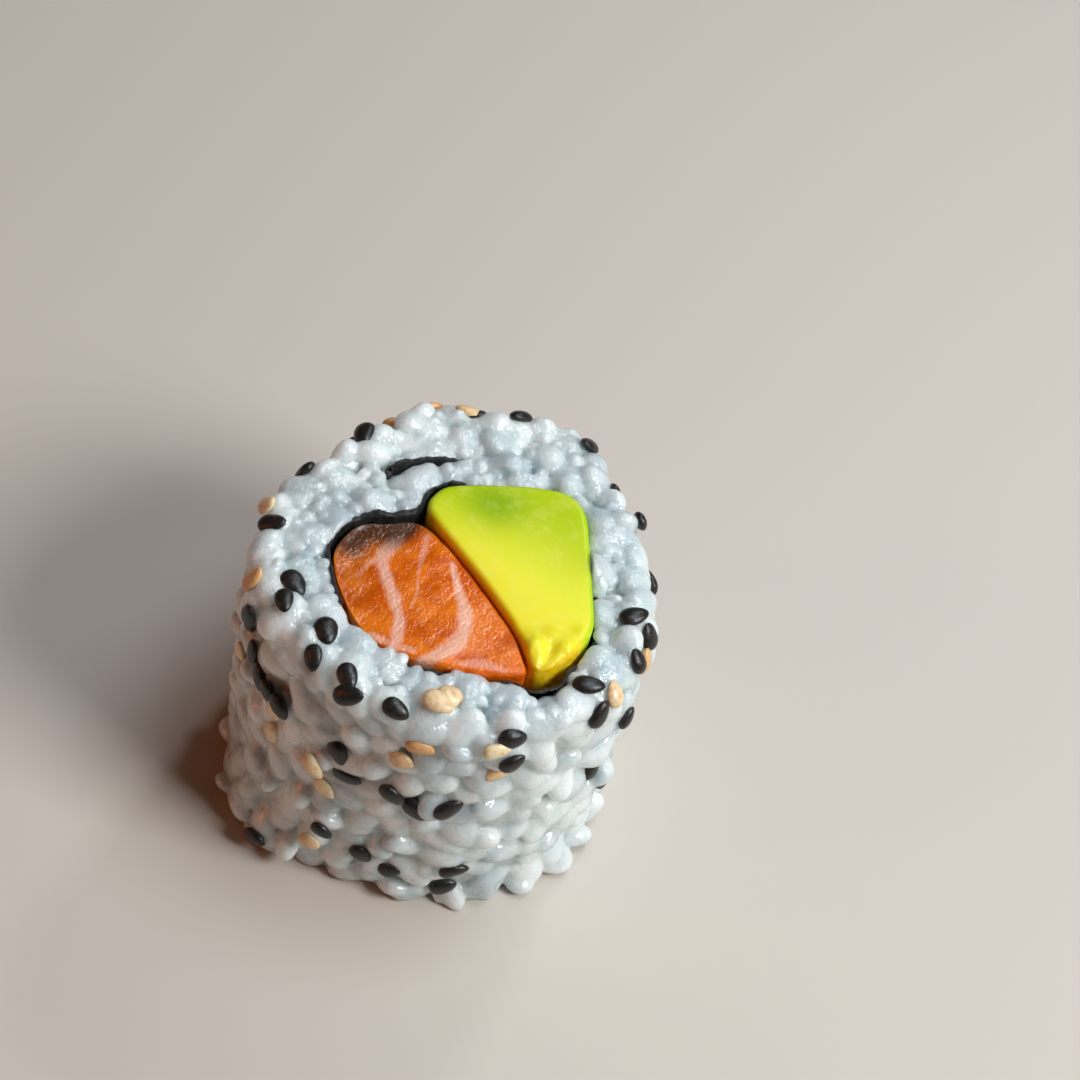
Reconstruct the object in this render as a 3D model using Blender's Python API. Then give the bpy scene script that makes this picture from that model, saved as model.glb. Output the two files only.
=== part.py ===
"""Uramaki roll: one piece of inside-out sushi, standing on its cut face.

The rice is outside, the nori sheet inside it, and the sheet wraps a strip of salmon and a
strip of avocado. All four run from the lower cut face to the upper one. The sheet starts
above the avocado, goes once round the fillings and overlaps its own start, so the rice that
is spread on it makes a spiral with a tongue of rice under the overlap.

Frame: +Z up along the roll, z = 0 on the surface that it stands on, and the origin at the
middle of the plan. Lengths are in millimetres here and become metres in each mesh.
"""

import math

import bpy
import numpy as np

MM = 0.001

# The roll
ROLL_HEIGHT = 33.5
TOP_EDGE_RADIUS = 2.4
BASE_EDGE_RADIUS = 1.6
# Distance from the axis to the rice's outside, at equal steps of angle from +X towards +Y.
ROLL_RADII = (
    21.4, 20.8, 21.0, 23.7, 22.0, 22.2, 20.2, 19.8,
    21.2, 22.7, 22.2, 22.0, 22.2, 22.8, 22.9, 22.5,
)
# Where the foot of the roll departs from the plan: (angle, width of the change, how far it goes out).
FOOT_CHANGES = (
    (math.radians(-131.0), math.radians(18.0), 3.0),
    (math.radians(-172.0), math.radians(28.0), -1.8),
)

# The rice grains that show in the roll's skin
GRAIN_LENGTH = 6.6
GRAIN_WIDTH = 3.4
GRAIN_RELIEF = 1.3
GRAIN_PITCH = 3.9
GRAIN_SIDE_STRETCH = 1.25
GRAIN_ROWS_ON_TOP = (0.88, 0.72, 0.56)
GRAIN_SHIFT = 0.25
GRAIN_DRIFT = 0.6
GRAIN_SEED = 7

# The nori sheet
NORI_THICKNESS = 0.5
NORI_TOP = 33.2
NORI_EDGE_WAVE = 0.25
NORI_WAVES = (1.7, 4.3)
CLEARANCE = 0.3
# Middle line of the sheet seen from above: from its start, round the fillings, to its free end.
NORI_ROUTE = (
    (5.6, 12.4), (0.8, 10.9), (-3.7, 9.2), (-5.4, 7.0), (-6.0, 4.6), (-8.4, 3.0), (-11.6, 1.6),
    (-13.6, -2.4), (-12.2, -7.0), (-8.8, -12.0), (-4.4, -14.6), (1.2, -15.0), (7.2, -14.3),
    (12.0, -12.4), (15.0, -8.8), (16.0, -4.8), (14.8, 0.8), (13.4, 6.6), (12.1, 10.3),
    (9.2, 12.7), (5.4, 13.3), (0.0, 13.6), (-4.4, 12.7), (-8.4, 10.6), (-10.4, 9.0),
)
# The point of the route where its overlapping end leaves the ring round the fillings.
OVERLAP_FROM = 18

# The fillings, each as an outline seen from above, anticlockwise
SALMON_TOP = 33.0
SALMON_EDGE_RADIUS = 0.7
SALMON_OUTLINE = (
    (-12.4, -5.4), (-10.6, -8.7), (-7.6, -12.2), (-4.0, -14.0), (1.0, -14.4), (5.4, -14.0),
    (8.4, -13.3), (9.8, -12.4), (9.0, -11.0), (7.1, -8.1), (3.0, -3.9), (-1.5, 0.3),
    (-4.6, 2.7), (-6.4, 3.2), (-8.4, 2.2), (-11.4, 0.8), (-12.9, -2.8),
)
AVOCADO_TOP = 34.4
AVOCADO_EDGE_RADIUS = 1.1
AVOCADO_OUTLINE = (
    (-5.0, 4.8), (-4.0, 3.4), (-1.0, 0.6), (3.4, -3.5), (7.5, -7.8), (9.6, -10.9),
    (10.6, -11.8), (12.1, -11.4), (14.3, -8.5), (15.3, -4.8), (14.0, 0.8), (12.6, 6.2),
    (11.2, 10.2), (8.8, 11.9), (5.0, 11.5), (0.6, 10.1), (-3.5, 8.4), (-4.9, 6.4),
)

# How finely the shapes are cut into facets
SKIN_STEPS = 96
SKIN_RINGS = 19
EDGE_RINGS = 3
CUT_FACE_SCALES = (0.93, 0.84, 0.75, 0.66, 0.57, 0.45)
NORI_STEP = 1.05
CURVE_STEPS = 16
FILLING_STEPS = 44
FILLING_CAP_SCALE = 0.6
SHARP_ANGLE = math.radians(40.0)
CUTTER_OVERRUN = 6.0


def between(before, start, end, after, share):
    """The Catmull-Rom curve from start to end, a share of the way, given its neighbours."""
    cubic = 3 * (start - end) + after - before
    square = 2 * before - 5 * start + 4 * end - after
    return start + share / 2 * (end - before + share * (square + share * cubic))


def smooth_line(points, step, closed):
    """Points about one step apart on the Catmull-Rom curve that passes through the given ones."""
    knots = np.array(points, float)
    if closed:
        knots = np.vstack([knots[-1:], knots, knots[:2]])
    else:
        knots = np.vstack([2 * knots[0] - knots[1], knots, 2 * knots[-1] - knots[-2]])
    share = np.linspace(0.0, 1.0, CURVE_STEPS, endpoint=False)[:, None]
    spans = [between(*four, share) for four in zip(knots, knots[1:], knots[2:], knots[3:])]
    fine = np.vstack([*spans, knots[-2:-1]])
    lengths = np.concatenate([[0.0], np.cumsum(np.linalg.norm(np.diff(fine, axis=0), axis=1))])
    count = max(3, round(lengths[-1] / step))
    places = np.linspace(0.0, lengths[-1], count + 1)[: count if closed else count + 1]
    return np.stack([np.interp(places, lengths, fine[:, k]) for k in (0, 1)], axis=1)


def left_normals(line, closed):
    """Unit normals in the plan, on the left of the way the line runs."""
    if closed:
        along = np.roll(line, -1, axis=0) - np.roll(line, 1, axis=0)
    else:
        along = np.gradient(line, axis=0)
    along /= np.linalg.norm(along, axis=1)[:, None]
    return np.stack([-along[:, 1], along[:, 0]], axis=1)


def roll_radius(angle):
    """Distance from the axis to the roll's outside: a smooth closed curve through ROLL_RADII."""
    count = len(ROLL_RADII)
    place = (angle / (2 * math.pi) * count) % count
    index = np.floor(place).astype(int)
    four = (np.take(ROLL_RADII, (index + k) % count) for k in (-1, 0, 1, 2))
    return between(*four, place - index)


def foot_reach(angle, height):
    """How far the foot stands out beyond the plan: most at the base, nothing from half height up."""
    fade = np.clip(1.0 - 2.0 * height / ROLL_HEIGHT, 0.0, 1.0)
    reach = 0.0
    for middle, width, most in FOOT_CHANGES:
        turn = (angle - middle + math.pi) % (2 * math.pi) - math.pi
        reach = reach + most * np.exp(-((turn / width) ** 2)) * fade
    return reach


def skin_rings():
    """The rings of the roll's skin, from the middle of the base over the side to the middle of the top.

    Each is (scale of the plan, how far it is set in, height, outward slope as an angle from level).
    The rings of the base have no slope, because the base is flat.
    """
    rings = [(scale, BASE_EDGE_RADIUS, 0.0, None) for scale in reversed(CUT_FACE_SCALES)]
    for slope in np.linspace(-math.pi / 2, 0.0, EDGE_RINGS, endpoint=False):
        in_by = BASE_EDGE_RADIUS * (1 - math.cos(slope))
        rings.append((1.0, in_by, BASE_EDGE_RADIUS * (1 + math.sin(slope)), slope))
    for height in np.linspace(BASE_EDGE_RADIUS, ROLL_HEIGHT - TOP_EDGE_RADIUS, SKIN_RINGS):
        rings.append((1.0, 0.0, height, 0.0))
    for slope in np.linspace(math.pi / 2, 0.0, EDGE_RINGS, endpoint=False)[::-1]:
        in_by = TOP_EDGE_RADIUS * (1 - math.cos(slope))
        rings.append((1.0, in_by, ROLL_HEIGHT - TOP_EDGE_RADIUS * (1 - math.sin(slope)), slope))
    rings += [(scale, TOP_EDGE_RADIUS, ROLL_HEIGHT, math.pi / 2) for scale in CUT_FACE_SCALES]
    return rings


def grain_places():
    """(middles, directions) of the grains in the skin: rows up the side and rings on the top."""
    chance = np.random.default_rng(GRAIN_SEED)
    middles, directions = [], []

    def add(angle, radius, height, normal):
        around = np.array([-math.sin(angle), math.cos(angle), 0.0])
        across = np.cross(normal, around)
        lean = chance.uniform(-math.pi / 2, math.pi / 2)
        middles.append((radius * math.cos(angle), radius * math.sin(angle), height))
        directions.append(around * math.cos(lean) + across * math.sin(lean))

    girth = 2 * math.pi * np.mean(ROLL_RADII)
    rows = round((ROLL_HEIGHT - GRAIN_WIDTH) / GRAIN_PITCH)
    for row in range(rows + 1):
        level = GRAIN_WIDTH / 2 + row * (ROLL_HEIGHT - GRAIN_WIDTH) / rows
        count = round(girth / (GRAIN_PITCH * GRAIN_SIDE_STRETCH))
        for k in range(count):
            angle = 2 * math.pi * (k + 0.5 * (row % 2) + chance.uniform(-GRAIN_SHIFT, GRAIN_SHIFT)) / count
            height = level + chance.uniform(-GRAIN_DRIFT, GRAIN_DRIFT)
            radius = roll_radius(angle) + foot_reach(angle, height)
            add(angle, radius, height, (math.cos(angle), math.sin(angle), 0.0))
    for scale in GRAIN_ROWS_ON_TOP:
        count = round(girth * scale / GRAIN_PITCH)
        for k in range(count):
            angle = 2 * math.pi * (k + chance.uniform(-GRAIN_SHIFT, GRAIN_SHIFT)) / count
            add(angle, scale * roll_radius(angle), ROLL_HEIGHT, (0.0, 0.0, 1.0))
    return np.array(middles), np.array(directions)


def grain_relief(points, middles, directions):
    """How far the grains lift the skin at each point: the highest of the low domes that cover it."""
    away = points[:, None, :] - middles[None, :, :]
    along = (away * directions).sum(2)
    across_squared = (away**2).sum(2) - along**2
    dome = 1.0 - (2 * along / GRAIN_LENGTH) ** 2 - across_squared * (2 / GRAIN_WIDTH) ** 2
    return GRAIN_RELIEF * np.clip(dome, 0.0, 1.0).max(axis=1)


def solid_mesh(name, points, faces):
    """A Blender mesh from points in millimetres."""
    mesh = bpy.data.meshes.new(name)
    mesh.from_pydata((np.asarray(points) * MM).tolist(), [], faces)
    mesh.validate()
    return mesh


def ring_stack(name, rings):
    """A closed mesh of rings of equal length, bottom to top, each end closed by a fan to its middle."""
    steps = len(rings[0])
    points = np.vstack([rings[0].mean(axis=0), *rings, rings[-1].mean(axis=0)])
    last = len(points) - 1
    faces = []
    for k in range(steps):
        after = (k + 1) % steps
        faces.append((0, 1 + after, 1 + k))
        for level in range(len(rings) - 1):
            low, high = 1 + level * steps, 1 + (level + 1) * steps
            faces.append((low + k, low + after, high + after, high + k))
        faces.append((last, last - steps + k, last - steps + after))
    return solid_mesh(name, points, faces)


def band_mesh(name, line, thickness, low, high):
    """A closed wall of one thickness on a plan line, from low to high, each one height or one a point."""
    side = left_normals(line, closed=False) * thickness / 2
    count = len(line)
    low, high = np.broadcast_to(low, count), np.broadcast_to(high, count)
    rows = [
        np.column_stack([line + side, low]),
        np.column_stack([line - side, low]),
        np.column_stack([line - side, high]),
        np.column_stack([line + side, high]),
    ]
    faces = [(0, count, 2 * count, 3 * count)]
    for k in range(count - 1):
        for row in range(4):
            here, beside = row * count + k, (row + 1) % 4 * count + k
            faces.append((here, here + 1, beside + 1, beside))
    faces.append(tuple(row * count + count - 1 for row in (3, 2, 1, 0)))
    return solid_mesh(name, np.vstack(rows), faces)


def prism_mesh(name, outline, low, high):
    """A closed prism on a plan outline."""
    count = len(outline)
    points = np.vstack([np.column_stack([outline, np.full(count, height)]) for height in (low, high)])
    faces = [tuple(range(count))[::-1], tuple(range(count, 2 * count))]
    faces += [(k, (k + 1) % count, count + (k + 1) % count, count + k) for k in range(count)]
    return solid_mesh(name, points, faces)


def food(name, colour, roughness):
    """A plain moist food material."""
    material = bpy.data.materials.new(name)
    material.use_nodes = True
    shader = material.node_tree.nodes["Principled BSDF"]
    shader.inputs["Base Color"].default_value = (*colour, 1.0)
    shader.inputs["Roughness"].default_value = roughness
    shader.inputs["Metallic"].default_value = 0.0
    material.diffuse_color = (*colour, 1.0)
    return material


def place(name, mesh, material, roll):
    """Puts a piece into the roll, standing on the roll's base."""
    piece = bpy.data.objects.new(name, mesh)
    bpy.context.scene.collection.objects.link(piece)
    piece.parent = roll
    if material:
        mesh.materials.append(material)
        mesh.shade_smooth()
        mesh.set_sharp_from_angle(angle=SHARP_ANGLE)
    return piece


def cut(piece, cutter_name, cutter_mesh, roll):
    """Cuts a hidden shape out of a piece."""
    cutter = place(cutter_name, cutter_mesh, None, roll)
    cutter.hide_render = True
    cutter.display_type = "WIRE"
    modifier = piece.modifiers.new(cutter_name, "BOOLEAN")
    modifier.operation = "DIFFERENCE"
    modifier.solver = "EXACT"
    modifier.object = cutter


def make_rice(roll, route):
    """The rice: a lumpy skin of pressed grains, less the room of the sheet and the fillings."""
    angles = np.linspace(0.0, 2 * math.pi, SKIN_STEPS, endpoint=False)
    outward = np.column_stack([np.cos(angles), np.sin(angles), np.zeros(SKIN_STEPS)])
    middles, directions = grain_places()
    rings = []
    for scale, in_by, height, slope in skin_rings():
        reach = scale * (roll_radius(angles) + foot_reach(angles, height) - in_by)
        ring = outward * reach[:, None]
        ring[:, 2] = height
        if slope is not None:
            normal = outward * math.cos(slope)
            normal[:, 2] = math.sin(slope)
            lift = grain_relief(ring, middles, directions) - GRAIN_RELIEF / 2
            ring += normal * lift[:, None]
            ring[:, 2] = np.maximum(ring[:, 2], height / 2)
        rings.append(ring)
    rice = place("rice", ring_stack("rice", rings), food("rice", (0.78, 0.80, 0.78), 0.35), roll)

    room = NORI_THICKNESS / 2 + CLEARANCE
    low, high = -CUTTER_OVERRUN, ROLL_HEIGHT + CUTTER_OVERRUN
    half_way = len(route) // 2
    closing = half_way + np.argmin(np.linalg.norm(route[half_way:] - route[0], axis=1))
    hole = (route - left_normals(route, closed=False) * room)[: closing + 1]
    cut(rice, "filling_hole", prism_mesh("filling_hole", hole, low, high), roll)
    start = np.argmin(np.linalg.norm(route - NORI_ROUTE[OVERLAP_FROM], axis=1))
    beyond = route[-1] + (route[-1] - route[-2]) / NORI_STEP * CLEARANCE
    slot = np.vstack([route[start:], beyond])
    cut(rice, "overlap_slot", band_mesh("overlap_slot", slot, 2 * room, low, high), roll)


def make_nori(roll, route):
    """The sheet: a thin wall on its route, with a slightly uneven upper edge."""
    along = np.arange(len(route)) * NORI_STEP
    top = NORI_TOP + NORI_EDGE_WAVE * np.sin(along / NORI_WAVES[0]) * np.sin(along / NORI_WAVES[1])
    mesh = band_mesh("nori", route, NORI_THICKNESS, 0.0, top)
    place("nori", mesh, food("nori", (0.012, 0.016, 0.012), 0.45), roll)


def make_filling(name, outline, top, edge, material, roll):
    """A strip of filling: a standing prism with rounded edges and a slightly crowned top."""
    length = np.linalg.norm(np.roll(outline, -1, axis=0) - outline, axis=1).sum()
    line = smooth_line(outline, length / FILLING_STEPS, closed=True)
    inward = left_normals(line, closed=True)
    # (how far it is set in, scale of the plan, height) of each ring
    levels = [(edge / 2, FILLING_CAP_SCALE, 0.0), (edge / 2, 1.0, 0.0), (0.0, 1.0, edge / 2)]
    levels += [(0.0, 1.0, top / 2)]
    for slope in np.linspace(0.0, math.pi / 2, EDGE_RINGS + 1):
        levels.append((edge * (1 - math.cos(slope)), 1.0, top - edge * (1 - math.sin(slope))))
    levels += [(edge, FILLING_CAP_SCALE, top + edge / 6)]
    rings = []
    for in_by, scale, height in levels:
        plan = line + inward * in_by
        plan = plan.mean(axis=0) + (plan - plan.mean(axis=0)) * scale
        rings.append(np.column_stack([plan, np.full(len(plan), height)]))
    place(name, ring_stack(name, rings), material, roll)


def clear_scene():
    for thing in list(bpy.data.objects):
        bpy.data.objects.remove(thing)


def make_roll():
    clear_scene()
    roll = bpy.data.objects.new("roll", None)
    bpy.context.scene.collection.objects.link(roll)
    route = smooth_line(NORI_ROUTE, NORI_STEP, closed=False)
    make_rice(roll, route)
    make_nori(roll, route)
    salmon = food("salmon", (0.78, 0.22, 0.06), 0.3)
    make_filling("salmon", SALMON_OUTLINE, SALMON_TOP, SALMON_EDGE_RADIUS, salmon, roll)
    avocado = food("avocado", (0.72, 0.72, 0.13), 0.4)
    make_filling("avocado", AVOCADO_OUTLINE, AVOCADO_TOP, AVOCADO_EDGE_RADIUS, avocado, roll)


make_roll()
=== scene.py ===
# The looks of one piece of uramaki roll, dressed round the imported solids. The sections follow the
# roll as it is put together: sheet, rice, seeds, salmon, avocado, and then the table and the light.
import math

import bpy
import numpy as np
from mathutils import Matrix, Vector
from mathutils.bvhtree import BVHTree


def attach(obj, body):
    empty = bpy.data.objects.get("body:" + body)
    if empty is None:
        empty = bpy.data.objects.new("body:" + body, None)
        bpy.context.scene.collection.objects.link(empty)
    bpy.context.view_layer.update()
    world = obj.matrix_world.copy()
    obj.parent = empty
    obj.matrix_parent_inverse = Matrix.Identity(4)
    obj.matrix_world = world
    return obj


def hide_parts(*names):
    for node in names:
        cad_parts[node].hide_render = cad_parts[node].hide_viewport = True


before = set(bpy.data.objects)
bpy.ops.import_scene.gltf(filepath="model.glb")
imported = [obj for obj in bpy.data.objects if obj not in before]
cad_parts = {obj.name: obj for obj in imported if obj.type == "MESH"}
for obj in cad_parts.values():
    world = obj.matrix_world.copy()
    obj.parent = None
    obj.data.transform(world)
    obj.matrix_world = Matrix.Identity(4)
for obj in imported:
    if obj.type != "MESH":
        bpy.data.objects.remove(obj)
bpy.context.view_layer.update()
# Shapes are worked out in millimetres and kept in metres.
MM = 0.001

# ---------------------------------------------------------------------------------------------
# Nori sheet: a dried sheet of pressed seaweed, half a millimetre thick once the rice has wetted
# it. It is rolled round the fillings and over its own start, where its free end curls. Its cut
# edge is ragged, and at two places it is folded outwards over the rice.
# ---------------------------------------------------------------------------------------------
SHEET_ROUTE = (
    (5.6, 12.4), (0.8, 10.9), (-3.7, 9.2), (-5.4, 7.0), (-6.0, 4.6), (-8.4, 3.0), (-11.6, 1.6),
    (-13.6, -2.4), (-12.2, -7.0), (-8.8, -12.0), (-4.4, -14.6), (1.2, -15.0), (7.2, -14.3),
    (12.0, -12.4), (15.0, -8.8), (16.0, -4.8), (14.8, 0.8), (13.4, 6.6), (12.1, 10.3),
    (9.2, 12.7), (5.4, 13.3), (0.0, 13.6), (-4.4, 12.7), (-8.4, 10.6), (-10.4, 9.0),
)
SHEET_THICKNESS = 0.5
SHEET_TOP = 33.4
SHEET_STEP = 0.3
SHEET_LEVELS = 44
CURL_RADIUS = 0.28
CURL_ANGLE = math.radians(320.0)
CURL_STEPS = 12
# How far the rice bulges over the sheet's cut edge, at equal steps of angle from +X towards +Y.
RICE_OVER_SHEET = (
    0.75, 0.8, 0.8, 0.8, 0.7, 0.1, 0.0, 0.0,
    0.2, 0.2, 0.1, 0.6, 0.8, 0.4, 0.0, 0.6,
)
EDGE_DROP = 0.9
# How much higher the overlap stands where it shows, and the change in its thickness there.
FLAP_RISE = 0.35
FLAP_SHARE = -0.1
# Where the sheet is doubled over on itself: the middle and the half width, in degrees.
DOUBLED = (152.0, 25.0)
DOUBLED_SHARE = 0.9
# Where the sheet's edge is folded out: the middle and the half width, in degrees.
FOLDED_OUT = ((-128.0, 6.5), (-47.0, 8.0))
FOLD_OUT = 1.5
FOLD_DROP = 0.35
FOLD_HEIGHT = 2.2
FOLD_BEND = 1.5
# The sheet's unevenness, from fine to long: (seed, share or height, length along the sheet).
PLAIN_SHARE = 0.9
THICKNESS_RIPPLES = ((3, 0.3, 0.3), (4, 0.25, 1.7))
EDGE_RIPPLES = ((8, 0.12, 0.16), (5, 0.2, 0.45), (6, 0.16, 1.6))
# Creases down the sheet: their depth, and how far apart they are along it and up it.
CREASE_DEPTH = 0.14
CREASE_LENGTHS = (1.3, 3.0)
CREASE_SEED = 7
# The rows of points up the sheet crowd together towards its top by this power.
CLIMB_POWER = 1.8
BEAD_STEPS = 6
SPAN_STEPS = 16
WAVES = 6


def around(values, angle):
    """A smooth closed curve through values at equal steps of angle from +X towards +Y."""
    count = len(values)
    place = (angle / (2 * math.pi) * count) % count
    k = np.floor(place).astype(int)
    t = place - k
    a, b, c, d = (np.take(values, (k + step) % count) for step in (-1, 0, 1, 2))
    return b + t / 2 * (c - a + t * (2 * a - 5 * b + 4 * c - d + t * (3 * (b - c) + d - a)))


def curve_through(points, step, closed=False):
    """Points one step apart on the Catmull-Rom curve through the given ones."""
    knots = np.array(points, float)
    if closed:
        knots = np.vstack([knots[-1:], knots, knots[:2]])
    else:
        knots = np.vstack([2 * knots[0] - knots[1], knots, 2 * knots[-1] - knots[-2]])
    t = np.linspace(0.0, 1.0, SPAN_STEPS, endpoint=False)[:, None]
    a, b, c, d = (knots[k : len(knots) - 3 + k, None, :] for k in range(4))
    spans = b + t / 2 * (c - a + t * (2 * a - 5 * b + 4 * c - d + t * (3 * (b - c) + d - a)))
    fine = np.vstack([spans.reshape(-1, 2), knots[-2:-1]])
    lengths = np.concatenate([[0.0], np.cumsum(np.linalg.norm(np.diff(fine, axis=0), axis=1))])
    count = max(3, round(lengths[-1] / step))
    places = np.linspace(0.0, lengths[-1], count + 1)[: count if closed else count + 1]
    return np.stack([np.interp(places, lengths, fine[:, k]) for k in (0, 1)], axis=1)


def normals_of(line, closed=False):
    """Unit normals in the plan on the left of the way that a line runs, by central differences."""
    if closed:
        along = np.roll(line, -1, axis=0) - np.roll(line, 1, axis=0)
    else:
        along = np.gradient(line, axis=0)
    along = along / np.linalg.norm(along, axis=1)[:, None]
    return np.stack([-along[:, 1], along[:, 0]], axis=1)


def ripple(seed, *places):
    """Smooth noise of about -1 to 1: the sum of six sine waves of the places, each in a seeded
    direction, over half their number."""
    chance = np.random.default_rng(seed)
    total = 0.0
    for _ in range(WAVES):
        pulls = chance.normal(0.0, 1.0, len(places))
        total = total + np.sin(sum(p * w for p, w in zip(places, pulls)) + chance.uniform(0.0, 6.3))
    return total / (WAVES / 2)


def ripples(kinds, place):
    """Several ripples of one place, added up: each has its seed, its height and its length."""
    return sum(height * ripple(seed, place / length) for seed, height, length in kinds)


def grid_faces(rows, columns, wrap_rows=False, wrap_columns=False):
    """Four-sided faces of a grid of points that is stored row after row."""
    i = np.arange(rows if wrap_rows else rows - 1)[:, None]
    j = np.arange(columns if wrap_columns else columns - 1)[None, :]
    below, beside = (i + 1) % rows, (j + 1) % columns
    return np.stack(
        [i * columns + j, i * columns + beside, below * columns + beside, below * columns + j], axis=-1
    ).reshape(-1, 4)


def new_piece(name, points, faces, caps=()):
    """A mesh object at the origin from points in millimetres, four-sided faces and larger caps."""
    mesh = bpy.data.meshes.new(name)
    if len(caps):
        mesh.from_pydata((points * MM).tolist(), [], faces.tolist() + [list(map(int, c)) for c in caps])
    else:
        mesh.vertices.add(len(points))
        mesh.vertices.foreach_set("co", (points * MM).astype(np.float32).ravel())
        mesh.loops.add(faces.size)
        mesh.loops.foreach_set("vertex_index", faces.astype(np.int32).ravel())
        mesh.polygons.add(len(faces))
        mesh.polygons.foreach_set("loop_start", np.arange(0, faces.size, faces.shape[1], dtype=np.int32))
        mesh.update(calc_edges=True)
    mesh.validate()
    mesh.shade_smooth()
    piece = bpy.data.objects.new(name, mesh)
    bpy.context.scene.collection.objects.link(piece)
    return piece


def finish_piece(piece, material, node):
    """Gives a piece its finish, lets it ride on the roll and stand for a node."""
    piece.data.materials.clear()
    piece.data.materials.append(material)
    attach(piece, "root")
    if node:
        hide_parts(node)


class Sum:
    """A shader value: Python's operators on it add the Math nodes that work it out."""

    def __init__(self, shop, socket):
        self.shop, self.socket = shop, socket

    def _with(self, operation, first, second):
        return self.shop.node("ShaderNodeMath", {"operation": operation}, {0: first, 1: second})

    def __add__(self, other):
        return self._with("ADD", self, other)

    __radd__ = __add__

    def __sub__(self, other):
        return self._with("SUBTRACT", self, other)

    def __rsub__(self, other):
        return self._with("SUBTRACT", other, self)

    def __mul__(self, other):
        return self._with("MULTIPLY", self, other)

    __rmul__ = __mul__


class Shop:
    """One material under way: its Principled shader, and the one method that adds any other node."""

    def __init__(self, name, **values):
        self.material = bpy.data.materials.new(name)
        self.material.use_nodes = True
        self.tree = self.material.node_tree
        self.shader = self.tree.nodes["Principled BSDF"]
        for key, value in values.items():
            self.shader.inputs[key.replace("_", " ")].default_value = value

    def node(self, kind, settings=None, sockets=None, out=0):
        """Adds a node, sets its settings and then its sockets, and returns one of its outputs."""
        made = self.tree.nodes.new(kind)
        for key, value in (settings or {}).items():
            setattr(made, key, value)
        for key, value in (sockets or {}).items():
            self.plug(made.inputs[key], value)
        return Sum(self, made.outputs[out])

    def plug(self, socket, value):
        """Links a shader value to a socket, or sets a plain number, vector or colour on it."""
        if isinstance(value, Sum):
            self.tree.links.new(value.socket, socket)
        else:
            socket.default_value = value

    def feed(self, **values):
        """Plugs values into the Principled shader's sockets."""
        for key, value in values.items():
            self.plug(self.shader.inputs[key.replace("_", " ")], value)

    def attribute(self, name):
        """The number that the mesh keeps under a name at each of its points."""
        return self.node("ShaderNodeAttribute", {"attribute_name": name}, out="Fac")

    def noise(self, size, detail=3.0, roughness=0.5, along=None):
        """Noise from 0 to 1 in lumps of about size millimetres, drawn out along (angle, times)."""
        where = self.node("ShaderNodeTexCoord", out="Object")
        if along:
            sockets = {"Vector": where, "Rotation": (0.0, 0.0, along[0]), "Scale": (along[1], 1.0, 1.0)}
            where = self.node("ShaderNodeMapping", {"vector_type": "TEXTURE"}, sockets)
        sockets = {"Vector": where, "Scale": 1.0 / (size * MM), "Detail": detail, "Roughness": roughness}
        return self.node("ShaderNodeTexNoise", {}, sockets)

    def spread(self, value, low, high):
        """Stretches low to high over 0 to 1, smoothly and without going past."""
        sockets = {"Value": value, "From Min": low, "From Max": high}
        return self.node("ShaderNodeMapRange", {"interpolation_type": "SMOOTHSTEP"}, sockets)

    def mix(self, share, first, second):
        """A colour between two."""
        sockets = {"Factor": share, 6: first, 7: second}
        return self.node("ShaderNodeMix", {"data_type": "RGBA"}, sockets, out=2)

    def bump(self, height, depth, under=None):
        """A normal from a height of 0 to 1 that stands for depth millimetres."""
        sockets = {"Height": height, "Distance": depth * MM, "Strength": 1.0}
        if under is not None:
            sockets["Normal"] = under
        return self.node("ShaderNodeBump", {}, sockets)


def paint(red, green, blue):
    """A colour for the shader from its values on a screen, by the screen's own curve."""
    screen = np.array([red, green, blue]) / 255.0
    linear = np.where(screen > 0.04045, ((screen + 0.055) / 1.055) ** 2.4, screen / 12.92)
    return (*linear.tolist(), 1.0)


SEAWEED = paint(14, 15, 14)
# The lighter veins are partly the sheet's own fibres, partly painted glints.
SEAWEED_VEINS_AND_GLINTS = paint(78, 82, 76)
shop = Shop("nori", Specular_IOR_Level=0.5, Coat_Weight=0.15, Coat_Roughness=0.2)
fibres = shop.noise(0.5, 5.0, 0.75)
shop.feed(
    # Lighter specks along the fibres: partly the sheet's real veins, partly painted glints.
    Base_Color=shop.mix(shop.spread(fibres, 0.45, 0.75), SEAWEED, SEAWEED_VEINS_AND_GLINTS),
    Roughness=0.2 + 0.3 * shop.noise(2.5, 2.0),
    Normal=shop.bump(fibres, 0.4),
)
nori_finish = shop.material

sheet_line = curve_through(SHEET_ROUTE, SHEET_STEP)
sheet_angle = np.unwrap(np.arctan2(sheet_line[:, 1], sheet_line[:, 0]))
sheet_radius = np.linalg.norm(sheet_line, axis=1)
ring_end = np.argmin(np.abs(sheet_angle - sheet_angle[0] - 2 * math.pi))
flap_from, flap_to = sheet_angle[ring_end] - 2 * math.pi, sheet_angle[-1] - 2 * math.pi


def rice_over_sheet(angle):
    """How far the rice bulges over the sheet's cut edge at an angle, in millimetres."""
    return np.clip(around(RICE_OVER_SHEET, angle), 0.0, None)


def bare(angle):
    """1 where the sheet is folded out and no rice lies beside it, and 0 elsewhere, smoothly."""
    share = 0.0
    for middle, width in FOLDED_OUT:
        turn = (angle - math.radians(middle) + math.pi) % (2 * math.pi) - math.pi
        share = share + np.exp(-((turn / math.radians(width)) ** 4))
    return share


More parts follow.
